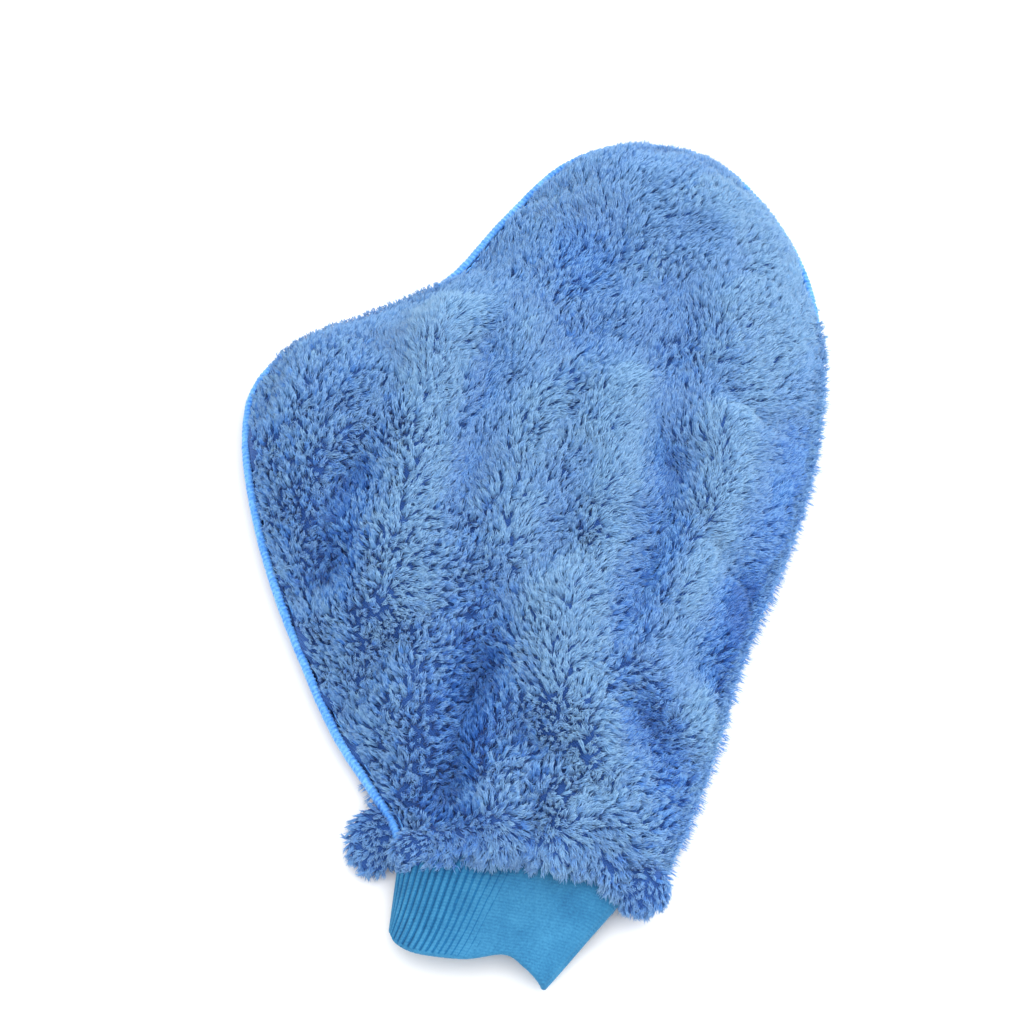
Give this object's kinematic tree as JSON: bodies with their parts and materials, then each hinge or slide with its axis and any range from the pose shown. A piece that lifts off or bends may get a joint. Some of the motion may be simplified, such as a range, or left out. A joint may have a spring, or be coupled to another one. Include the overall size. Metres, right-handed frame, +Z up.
{
  "type": "wash mitt",
  "caption": "Plush microfibre wash mitt with a thumb lobe, an overlocked edge and a folded rib-knit wrist cuff, worn on the hand to wash a car.",
  "frame": {"origin": "bottom centre of the bounding box, on the surface the mitt lies on", "axes": "+Y toward the fingertips with the cuff at -Y, +Z up from the palm side to the back of the hand, thumb toward -X"},
  "size_m": [0.1892, 0.3096, 0.0378],
  "materials": {
    "plush_pile": "long split-fibre pile, matt with a soft sheen",
    "ground_knit": "plain knit, matt",
    "edge_thread": "textured looper thread, slight sheen",
    "sewing_thread": "spun thread, slight sheen",
    "rib_knit": "rib knit, matt"
  },
  "bodies": {
    "root": {"back_pile": "plush_pile", "back_ground_knit": "ground_knit", "palm_pile": "plush_pile", "palm_ground_knit": "ground_knit", "edge_overlock": "edge_thread", "edge_needle_thread": "sewing_thread", "rib_cuff": "rib_knit", "cuff_side_seam": "sewing_thread", "cuff_join_seam": "sewing_thread"}
  },
  "joints": []
}
